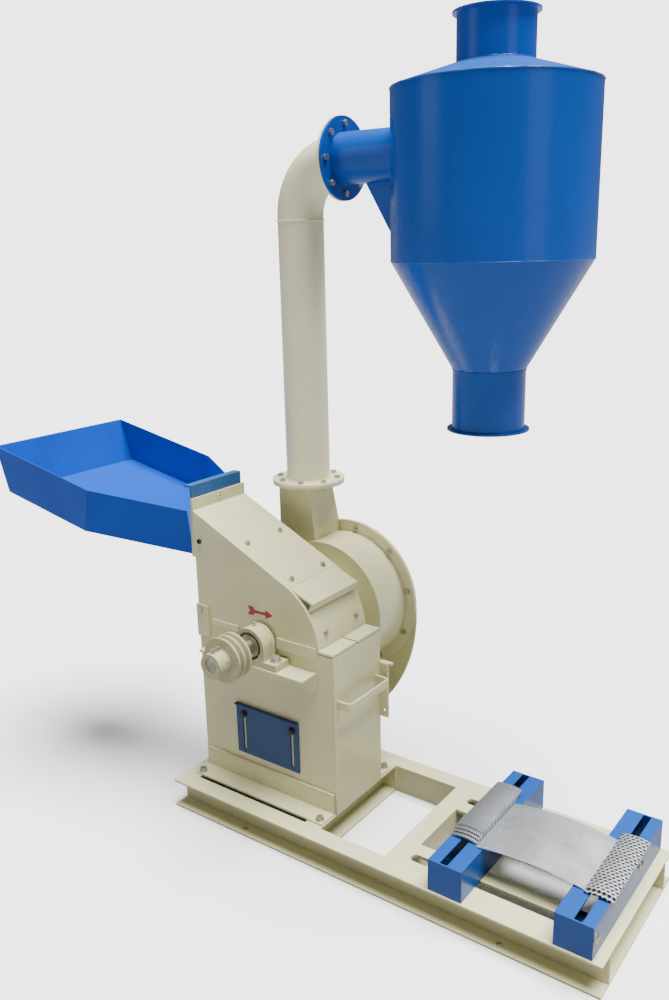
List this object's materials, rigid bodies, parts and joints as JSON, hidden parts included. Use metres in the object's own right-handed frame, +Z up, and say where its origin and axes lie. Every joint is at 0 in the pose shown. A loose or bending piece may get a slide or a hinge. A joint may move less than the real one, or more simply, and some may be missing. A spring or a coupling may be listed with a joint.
{
  "type": "hammer mill",
  "caption": "Grain hammer mill on a channel base with a feed tray on a hinged cover, a belt pulley, a suction blower, a delivery pipe, a cyclone and sliding motor rails.",
  "frame": {"origin": "centre of the four foundation bolt holes, on the floor", "axes": "+X from the mill to the motor end, +Y from the pulley side to the blower side, +Z up"},
  "size_m": [1.7415, 0.7215, 1.865],
  "materials": {
    "cream_paint": "gloss",
    "blue_paint": "gloss",
    "pulley_paint": "gloss",
    "cast_housing": "painted",
    "plated_bolts": "satin",
    "black_bolts": "satin",
    "machined_steel": "bright",
    "forged_steel": "matt",
    "screen_steel": "satin",
    "sheet_steel": "satin"
  },
  "bodies": {
    "frame": {"base_front_channel": "cream_paint", "base_back_channel": "cream_paint", "base_end_channels": "cream_paint", "mill_cross_channel": "cream_paint", "middle_cross_channel": "cream_paint", "motor_guides": "cream_paint", "lower_casing": "cream_paint", "casing_feet": "cream_paint", "foot_bolts": "plated_bolts", "door_bolts": "black_bolts", "grab_handle": "cream_paint", "bearing_shelf_front": "cream_paint", "bearing_shelf_rear": "cream_paint", "bearing_housing_front": "cast_housing", "bearing_housing_rear": "cast_housing", "bearing_bolts": "plated_bolts", "screen": "screen_steel", "hinge_leaves": "cream_paint", "hinge_bolts": "plated_bolts", "blower_drum": "cream_paint", "blower_back_plate": "cream_paint", "blower_bolts": "plated_bolts", "blower_brackets": "cream_paint", "blower_outrigger": "cream_paint", "outlet_duct": "cream_paint", "suction_box": "cream_paint", "delivery_pipe": "cream_paint", "pipe_flange_bolts": "plated_bolts", "cyclone_body": "blue_paint", "cyclone_lid": "blue_paint", "cyclone_inlet": "blue_paint"},
    "cover": {"cover_shell": "cream_paint", "cover_handle": "cream_paint", "cover_strips": "cream_paint", "liner_bolts": "plated_bolts", "breaker_liner": "forged_steel", "mouth_flange": "cream_paint", "feed_tray": "blue_paint"},
    "feed_gate": {"feed_gate": "blue_paint"},
    "slide_door": {"slide_door": "blue_paint"},
    "rotor": {"rotor_shaft": "machined_steel", "rotor_discs": "forged_steel", "rotor_sleeves": "forged_steel", "hammer_pins": "machined_steel", "pulley": "pulley_paint", "pulley_set_screws": "plated_bolts", "pulley_key": "machined_steel", "impeller": "cream_paint", "bearing_inner_rings": "machined_steel"},
    "hammers_1": {"hammers_row_1": "forged_steel"},
    "hammers_2": {"hammers_row_2": "forged_steel"},
    "hammers_3": {"hammers_row_3": "forged_steel"},
    "hammers_4": {"hammers_row_4": "forged_steel"},
    "motor_rail_1": {"motor_rail_1": "blue_paint", "rail_bolts_1": "plated_bolts"},
    "motor_rail_2": {"motor_rail_2": "blue_paint", "rail_bolts_2": "plated_bolts"},
    "spare_screens_left": {"spare_screens_left": "screen_steel"},
    "spare_sheet": {"spare_sheet": "sheet_steel"},
    "spare_screens_right": {"spare_screens_right": "screen_steel"}
  },
  "joints": [
    {"name": "rotor_spin", "type": "hinge", "parent": "frame", "child": "rotor", "pos_m": [-0.3425, 0, 0.489], "axis": [0, 1, 0], "continuous": true},
    {"name": "hammers_1_swing", "type": "hinge", "parent": "rotor", "child": "hammers_1", "pos_m": [-0.2824, 0, 0.5491], "axis": [0, -1, 0], "range_deg": [-10, 280]},
    {"name": "hammers_2_swing", "type": "hinge", "parent": "rotor", "child": "hammers_2", "pos_m": [-0.4026, 0, 0.5491], "axis": [0, -1, 0], "range_deg": [-280, 10]},
    {"name": "hammers_3_swing", "type": "hinge", "parent": "rotor", "child": "hammers_3", "pos_m": [-0.4026, 0, 0.4289], "axis": [0, -1, 0], "range_deg": [-190, 100]},
    {"name": "hammers_4_swing", "type": "hinge", "parent": "rotor", "child": "hammers_4", "pos_m": [-0.2824, 0, 0.4289], "axis": [0, -1, 0], "range_deg": [-100, 190]},
    {"name": "cover_open", "type": "hinge", "parent": "frame", "child": "cover", "pos_m": [-0.543, 0, 0.524], "axis": [0, -1, 0], "range_deg": [0, 60]},
    {"name": "gate_lift", "type": "slide", "parent": "cover", "child": "feed_gate", "axis": [0, 0, 1], "range_m": [0, 0.085]},
    {"name": "door_lift", "type": "slide", "parent": "frame", "child": "slide_door", "axis": [0, 0, 1], "range_m": [0, 0.088]},
    {"name": "rail_1_shift", "type": "slide", "parent": "frame", "child": "motor_rail_1", "axis": [1, 0, 0], "range_m": [-0.08, 0.06]},
    {"name": "rail_2_shift", "type": "slide", "parent": "frame", "child": "motor_rail_2", "axis": [1, 0, 0], "range_m": [-0.1, 0]},
    {"name": "spare_screens_left_lift", "type": "slide", "parent": "frame", "child": "spare_screens_left", "axis": [0, 0, 1], "range_m": [0, 0.3]},
    {"name": "spare_sheet_lift", "type": "slide", "parent": "frame", "child": "spare_sheet", "axis": [0, 0, 1], "range_m": [0, 0.3]},
    {"name": "spare_screens_right_lift", "type": "slide", "parent": "frame", "child": "spare_screens_right", "axis": [0, 0, 1], "range_m": [0, 0.3]}
  ]
}
